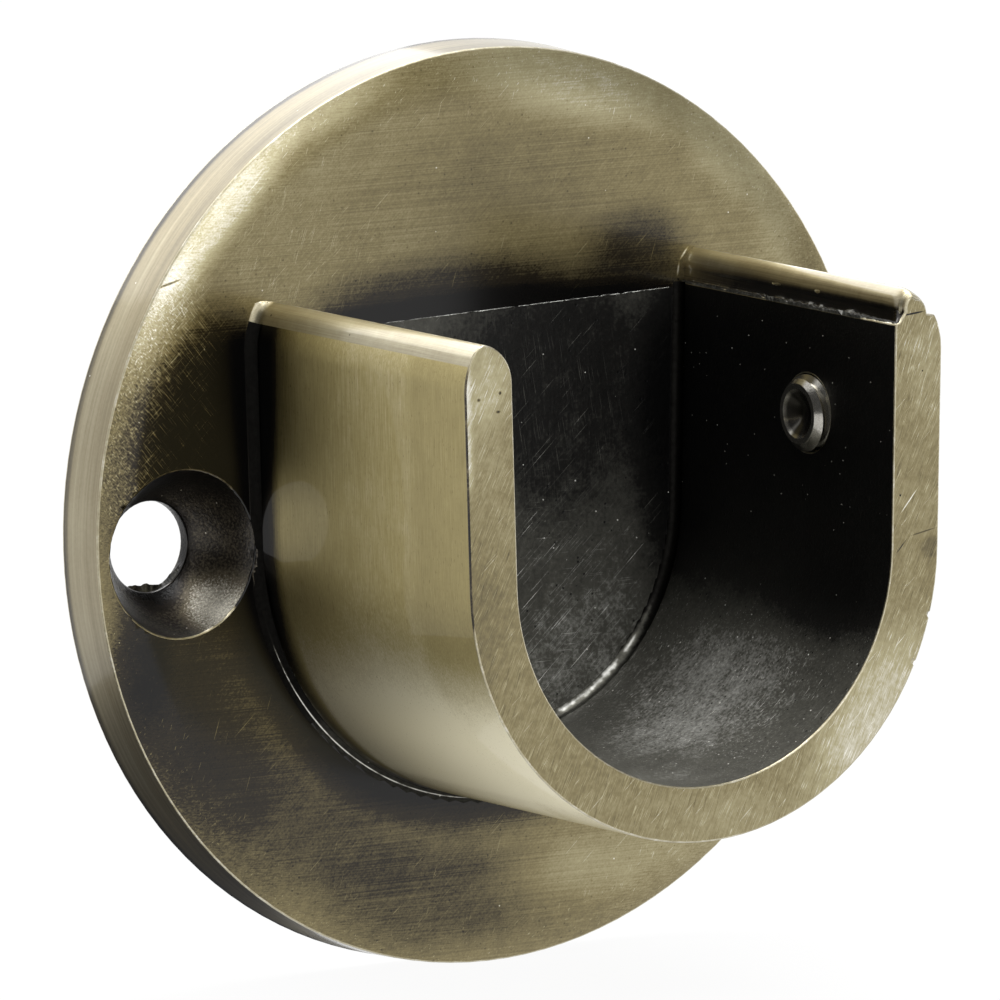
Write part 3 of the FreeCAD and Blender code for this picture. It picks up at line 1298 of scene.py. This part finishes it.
@dataclass
class Flash:
    """Torn flash on the parting line, on the ledge, across the plate and in the left hole."""

    body: str = "bracket"
    slot: str = "antique_brass"
    face_y: float = -4.93
    hole_x: float = -23.7
    hole_y: float = -0.6
    hole_z: float = -1.05
    hole_radius: float = 2.98

    def across_hole(self, start_deg: float, end_deg: float, below: float) -> tuple[Triple, ...]:
        """Run straight from one point of the left hole's edge to another, a little outside it.

        Args:
            start_deg: Direction of the first point from the axis, from +X towards +Z.
            end_deg: Direction of the other point.
            below: How far outside the straight line.

        Returns:
            Both ends in millimetres.
        """
        outwards = math.radians(0.5 * (start_deg + end_deg))
        ends = []
        for angle in (math.radians(start_deg), math.radians(end_deg)):
            across = self.hole_radius * math.cos(angle) + below * math.cos(outwards)
            up = self.hole_radius * math.sin(angle) + below * math.sin(outwards)
            ends.append((self.hole_x + across, self.hole_y, self.hole_z + up))
        return tuple(ends)

    def fins(self) -> list[Fin]:
        """List the places where flash is left.

        Returns:
            The fins on the ledge, on the plate and in the hole.
        """
        ledge = tuple((14.82, y, 13.5) for y in (-5.2, -15.0, -25.8))
        end = ((14.86, -25.8, 13.5), (14.9, -29.5, 13.5))
        plate = tuple((x, self.face_y, z) for x, z in ((-14.2, 12.5), (-2.0, 12.79), (13.9, 13.16)))
        low = self.across_hole(238.0, 302.0, 0.46)
        slant = self.across_hole(290.0, 328.0, 0.16)
        return [
            Fin(ledge[:2], (-0.5, 0.0, 0.9), 0.14, 0.2, -0.1, 3, 0.2),
            Fin(ledge[1:], (-0.6, 0.0, 0.8), 0.2, 0.3, -0.2, 5, 0.18),
            Fin(end, (-0.5, 0.0, 0.9), 0.16, 0.2, -0.1, 8, 0.2),
            Fin(plate[:2], (0.0, -1.0, 0.1), 0.12, 0.12, 0.05, 11),
            Fin(plate[1:], (0.0, -1.0, 0.1), 0.14, 0.16, 0.0, 13),
            Fin(low, (0.0, 0.0, 1.0), 0.5, 0.4, -0.7, 21, 0.22, 0.08),
            Fin(slant, (-0.6, 0.0, 0.75), 0.5, 0.26, -0.6, 22, 0.22, 0.12),
        ]

    def build(self) -> Object:
        """Build all fins as one piece of the casting.

        Returns:
            The flash.
        """
        work = bmesh.new()
        for fin in self.fins():
            fin.add_to(work)
        bmesh.ops.recalc_face_normals(work, faces=work.faces)
        piece = held("parting_flash", work)
        piece.data.materials.append(TORN_FLASH.material())
        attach(piece, self.body)
        return piece


@dataclass(frozen=True)
class SteelFinish:
    """Bright zinc-plated steel, turned: a light grey metal with fine grain, and a darker hollow in the
    cup point that is painted shade.
    """

    name: str = "plated_steel"
    bright: str = "c9c6bd"
    grey: str = "8d8a83"
    # Colour of the painted shade in the cup point's hollow.
    hollow: str = "5c5a55"
    roughness: float = 0.2
    grain_mm: float = 0.12
    grain_um: float = 4.0
    grain_share: float = 0.6
    hollow_mm: float = 1.5
    hollow_edge: Pair = (1.04, 0.9)
    hollow_deep: Pair = (0.03, 0.15)

    def material(self, mouth: Triple) -> Material:
        """Build the finish as a node material.

        Args:
            mouth: The middle of the cup point's rim, in millimetres.

        Returns:
            The material.
        """
        material = new_material(self.name)
        layers = Layers(material.node_tree)
        add = layers.add
        grain = layers.grain((self.grain_mm,) * 3, 3.0, roughness=0.5)
        tones = {0: grain, 6: linear(self.grey), 7: linear(self.bright)}
        colour = add("Mix", tones, data_type="RGBA")
        # Painted shade: the hollow of the cup point is made darker.
        centre = tuple(part * MM for part in mouth)
        parts = add("VectorMath", {0: layers.spot, 1: centre}, operation="SUBTRACT")
        parts = add("SeparateXYZ", {0: parts})
        flat = add("CombineXYZ", {"Y": (parts, "Y"), "Z": (parts, "Z")})
        radius = (add("VectorMath", {0: flat}, operation="LENGTH"), "Value")
        outer, inner = (share * self.hollow_mm * MM for share in self.hollow_edge)
        shallow, deep = (depth * MM for depth in self.hollow_deep)
        inside = add("MapRange", {"Value": radius, 1: outer, 2: inner, 3: 0.0, 4: 1.0})
        below = add("MapRange", {"Value": (parts, "X"), 1: shallow, 2: deep, 3: 0.0, 4: 1.0})
        inside = add("Math", {0: inside, 1: below}, operation="MULTIPLY")
        tones = {0: inside, 6: (colour, 2), 7: linear(self.hollow)}
        colour = add("Mix", tones, data_type="RGBA")
        height = {"Height": grain, "Strength": self.grain_share, "Distance": self.grain_um * MM * MM}
        inputs = {"Base Color": (colour, 2), "Metallic": 1.0, "Roughness": self.roughness}
        shader = add("BsdfPrincipled", inputs | {"Normal": add("Bump", height)})
        add("OutputMaterial", {"Surface": shader})
        return material


@dataclass
class GrubScrew:
    """M5 x 0.8 grub screw, 5 mm long, with a cup point towards the pole and a hexagon socket."""

    node: str = "grub_screw"
    body: str = "screw"
    slot: str = "steel"
    radius: float = 2.49
    root_radius: float = 2.05
    pitch: float = 0.8
    crest: float = 0.1
    flank_deg: float = 30.0
    spare_turns: int = 2
    overrun: float = 0.4
    length: float = 5.0
    play: float = 0.01
    tip_chamfer: float = 0.5
    tip_break: Pair = (0.04, 0.03)
    point_radius: float = 1.62
    point_depth: float = 0.9
    point_belly: Pair = (0.5, 0.62)
    point_lip: Pair = (0.08, 0.06)
    across_flats: float = 2.5
    socket_depth: float = 2.0
    socket_chamfer: float = 0.25
    turn_steps: int = 48
    sharp_deg: float = 28.0
    mouth: Triple = (13.75, -19.95, 6.65)

    def thread(self) -> Object:
        """Sweep one thread ridge round the axis, and cut the rod square at both ends.

        Returns:
            A threaded rod, longer than the screw.
        """
        flank = (self.radius - self.root_radius) * math.tan(math.radians(self.flank_deg))
        root = self.pitch - 2.0 * flank - self.crest
        start = -self.spare_turns * self.pitch
        outline = [
            (self.root_radius, start),
            (self.root_radius, start + root),
            (self.radius, start + (root + flank)),
            (self.radius, start + (root + flank + self.crest)),
            (self.root_radius, start + self.pitch),
        ]
        turns = math.ceil(self.length / self.pitch) + 2 * self.spare_turns
        work = spun(outline, self.turn_steps, turns, self.pitch)
        for height, up in ((-self.overrun, -1.0), (self.length + self.overrun, 1.0)):
            cut = bmesh.ops.bisect_plane(
                work,
                geom=work.verts[:] + work.edges[:] + work.faces[:],
                plane_co=(0.0, 0.0, height),
                plane_no=(0.0, 0.0, up),
                clear_outer=True,
            )
            rim = [part for part in cut["geom_cut"] if isinstance(part, BMEdge)]
            bmesh.ops.edgenet_fill(work, edges=rim)
        bmesh.ops.recalc_face_normals(work, faces=work.faces)
        return held("thread", work)

    def blank(self) -> Object:
        """Turn the screw's ends: the cup point, the chamfers and the flat outer end.

        Returns:
            The blank that the thread is cut down to.
        """
        tip = self.radius - self.tip_chamfer + self.play
        outline = [
            (0.0, self.point_depth),
            (self.point_belly[0] * self.point_radius, self.point_belly[1] * self.point_depth),
            (self.point_radius - self.point_lip[0], self.point_lip[1]),
            (self.point_radius, 0.0),
            (tip - self.tip_break[0], 0.0),
            (tip, self.tip_break[1]),
            (self.radius + self.play, self.tip_chamfer),
            (self.radius + self.play, self.length - self.socket_chamfer),
            (self.radius - self.socket_chamfer, self.length),
            (0.0, self.length),
        ]
        work = spun(outline, 2 * self.turn_steps)
        bmesh.ops.recalc_face_normals(work, faces=work.faces)
        return held("blank", work)

    def socket(self) -> Object:
        """Make the hexagon bar that the socket is cut with.

        Returns:
            The bar, standing out of the screw's outer end.
        """
        work = bmesh.new()
        corner = self.across_flats / math.sqrt(3.0)
        depth = 2.0 * self.socket_depth
        bmesh.ops.create_cone(
            work, cap_ends=True, segments=6, radius1=corner, radius2=corner, depth=depth
        )
        bmesh.ops.translate(work, verts=work.verts, vec=(0.0, 0.0, self.length))
        return held("socket", work)

    def build(self) -> Object:
        """Thread the blank, cut its socket and put it where the CAD node is.

        Returns:
            The screw that stands for the CAD node.
        """
        screw = self.blank()
        combined(screw, self.thread(), "INTERSECT")
        combined(screw, self.socket(), "DIFFERENCE")
        screw.name = "threaded_grub_screw"
        turn = Matrix.Rotation(math.radians(90.0), 4, "Y")
        screw.data.transform(Matrix.Scale(MM, 4) @ Matrix.Translation(self.mouth) @ turn)
        for face in screw.data.polygons:
            face.use_smooth = True
        screw.data.set_sharp_from_angle(angle=math.radians(self.sharp_deg))
        screw.data.materials.clear()
        screw.data.materials.append(SteelFinish().material(self.mouth))
        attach(screw, self.body)
        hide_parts(self.node)
        return screw


@dataclass(frozen=True)
class Softbox:
    """Rectangular soft light that looks at the object: directions in degrees, sizes in metres.

    Azimuth is 0 in front of the plate and positive to its right. The level is how bright the
    box looks from the object, 1 being white.
    """

    name: str
    azimuth: float
    elevation: float
    size: Pair
    level: float
    distance: float = 1.6


@dataclass
class Studio:
    """Floor, backdrop, soft lights and the camera of the photograph.

    The cards are grey walls of the room that only the metal's reflections see, and the shade
    is one more that lies on the floor behind the bracket.
    """

    target_mm: Triple = (-3.965, -12.0, 1.613)
    distance_mm: float = 1743.12
    azimuth_deg: float = -33.467
    elevation_deg: float = 8.407
    roll_deg: float = -0.336
    lens_mm: float = 975.46
    sensor_mm: float = 36.0
    floor_z: float = -30.0
    floor_half: float = 6.0
    floor_white: float = 0.95
    room_grey: str = "b4b4b4"
    room_level: float = 0.8
    paper: str = "f2f2f2"
    cards: tuple[Softbox, ...] = (
        Softbox("room_front", 33.0, 10.0, (6.0, 5.0), 0.5, 3.5),
        Softbox("room_left", -75.0, 10.0, (3.6, 5.0), 0.08, 3.0),
        Softbox("room_band", 38.0, 16.0, (2.2, 0.9), 0.14, 3.0),
    )
    softboxes: tuple[Softbox, ...] = (
        Softbox("behind_above", 178.0, 34.0, (1.7, 1.0), 1.95),
        Softbox("front", 9.0, 15.0, (0.6, 0.6), 2.9),
        Softbox("above_front", 20.0, 64.0, (1.5, 0.9), 4.0),
        Softbox("above_behind", 150.0, 76.0, (1.0, 0.8), 9.0),
        Softbox("right", 80.0, 0.0, (0.4, 0.9), 1.6),
    )
    shade_y: float = 0.018
    shade_size: Pair = (0.3, 0.032)
    shade_level: float = 0.08
    white: tuple[float, float, float, float] = (1.0, 1.0, 1.0, 1.0)

    def towards(self, azimuth_deg: float, elevation_deg: float) -> Vector:
        """Point away from the object.

        Args:
            azimuth_deg: 0 in front of the plate, positive to its right.
            elevation_deg: Above the object.

        Returns:
            The direction.
        """
        azimuth = math.radians(azimuth_deg)
        elevation = math.radians(elevation_deg)
        level = math.cos(elevation)
        out = (math.sin(azimuth) * level, -math.cos(azimuth) * level, math.sin(elevation))
        return Vector(out)

    def camera(self) -> None:
        """Place the camera where the photograph was taken from."""
        azimuth = math.radians(self.azimuth_deg)
        roll = math.radians(self.roll_deg)
        back = self.towards(self.azimuth_deg, self.elevation_deg)
        level = Vector((math.cos(azimuth), math.sin(azimuth), 0.0))
        up = back.cross(level)
        right = math.cos(roll) * level + math.sin(roll) * up
        over = math.cos(roll) * up - math.sin(roll) * level
        place = (Vector(self.target_mm) + back * self.distance_mm) * MM
        turned = Matrix((right, over, back)).transposed().to_4x4()
        data = bpy.data.cameras.new("camera")
        data.lens = self.lens_mm
        data.sensor_width = self.sensor_mm
        camera = bpy.data.objects.new("camera", data)
        camera.matrix_world = Matrix.Translation(place) @ turned
        bpy.context.scene.collection.objects.link(camera)
        bpy.context.scene.camera = camera

    def seen(self, recipe: Recipe) -> Node:
        """Pick out the rays that see the background, straight or in the metal.

        Args:
            recipe: The background's nodes.

        Returns:
            A node that gives 1 for those rays and 0 for the others.
        """
        ray = recipe.add("LightPath")
        straight = {0: (ray, "Is Camera Ray"), 1: (ray, "Is Glossy Ray")}
        seen = recipe.add("Math", straight, operation="MAXIMUM")
        return recipe.add("Math", {0: seen, 1: (ray, "Is Transmission Ray")}, operation="MAXIMUM")

    def world(self) -> None:
        """White round the object for the camera and in the metal, plain grey as a light."""
        world = bpy.data.worlds.new("studio")
        world.use_nodes = True
        bpy.context.scene.world = world
        recipe = Recipe(world.node_tree)
        room = {"Color": linear(self.room_grey), "Strength": self.room_level}
        room = recipe.add("Background", room)
        white = recipe.add("Background", {"Color": self.white, "Strength": 1.0})
        mixed = recipe.add("MixShader", {0: self.seen(recipe), 1: room, 2: white})
        recipe.add("OutputWorld", {"Surface": mixed})

    def floor(self) -> None:
        """Pale floor that stays nearly white to the camera and keeps a soft shadow."""
        work = bmesh.new()
        bmesh.ops.create_grid(work, x_segments=1, y_segments=1, size=self.floor_half)
        bmesh.ops.translate(work, verts=work.verts, vec=(0.0, 0.0, self.floor_z * MM))
        material = new_material("pale_floor")
        recipe = Recipe(material.node_tree)
        paper = recipe.add("BsdfDiffuse", {"Color": linear(self.paper)})
        glow = recipe.add("Emission", {"Color": self.white, "Strength": 1.0})
        share = {0: self.seen(recipe), 1: self.floor_white}
        share = recipe.add("Math", share, operation="MULTIPLY")
        mixed = recipe.add("MixShader", {0: share, 1: paper, 2: glow})
        recipe.add("OutputMaterial", {"Surface": mixed})
        floor = held("floor", work)
        floor.data.materials.append(material)

    def card(self, name: str, centre: Vector, facing: Vector, size: Pair, level: float) -> None:
        """Set up a grey card that only the metal's reflections see.

        Args:
            name: What it is called.
            centre: Where its middle is, in metres.
            facing: The way its front looks.
            size: Width and height, in metres.
            level: How bright the card looks, 1 being white.
        """
        work = bmesh.new()
        bmesh.ops.create_grid(work, x_segments=1, y_segments=1, size=0.5)
        bmesh.ops.scale(work, verts=work.verts, vec=(size[0], size[1], 1.0))
        turn = facing.to_track_quat("Z", "Y").to_matrix()
        bmesh.ops.rotate(work, verts=work.verts, cent=NONE, matrix=turn)
        bmesh.ops.translate(work, verts=work.verts, vec=centre)
        material = new_material(name)
        recipe = Recipe(material.node_tree)
        glow = recipe.add("Emission", {"Color": self.white, "Strength": level})
        recipe.add("OutputMaterial", {"Surface": glow})
        card = held(name, work)
        card.data.materials.append(material)
        card.visible_camera = False
        card.visible_diffuse = False
        card.visible_shadow = False
        card.visible_transmission = False

    def softbox(self, box: Softbox) -> None:
        """Hang a soft light.

        Args:
            box: Its place, size and level.
        """
        away = self.towards(box.azimuth, box.elevation)
        data = bpy.data.lights.new(box.name, "AREA")
        data.shape = "RECTANGLE"
        data.size, data.size_y = box.size
        data.energy = box.level * math.pi * box.size[0] * box.size[1]
        lamp = bpy.data.objects.new(box.name, data)
        lamp.location = away * box.distance
        lamp.rotation_euler = away.to_track_quat("Z", "Y").to_euler()
        bpy.context.scene.collection.objects.link(lamp)

    def lights(self) -> None:
        """Stand up the cards, lay a dark one behind the bracket and hang the soft lights."""
        for box in self.cards:
            away = self.towards(box.azimuth, box.elevation)
            self.card(box.name, away * box.distance, away, box.size, box.level)
        behind = Vector((0.0, self.shade_y, (self.floor_z + NEAR) * MM))
        up = Vector((0.0, 0.0, 1.0))
        self.card("floor_behind", behind, up, self.shade_size, self.shade_level)
        for box in self.softboxes:
            self.softbox(box)

    def build(self) -> None:
        """Set up the whole studio."""
        self.camera()
        self.world()
        self.floor()
        self.lights()
        bpy.context.scene.view_settings.view_transform = "Standard"


def main() -> None:
    """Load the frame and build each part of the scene."""
    logging.basicConfig(level=logging.INFO, format="%(name)s: %(message)s")
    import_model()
    Studio().build()
    for piece in (Casting(), Flash(), GrubScrew()):
        LOG.info("built %s", piece.build().name)


if __name__ == "__main__":
    main()
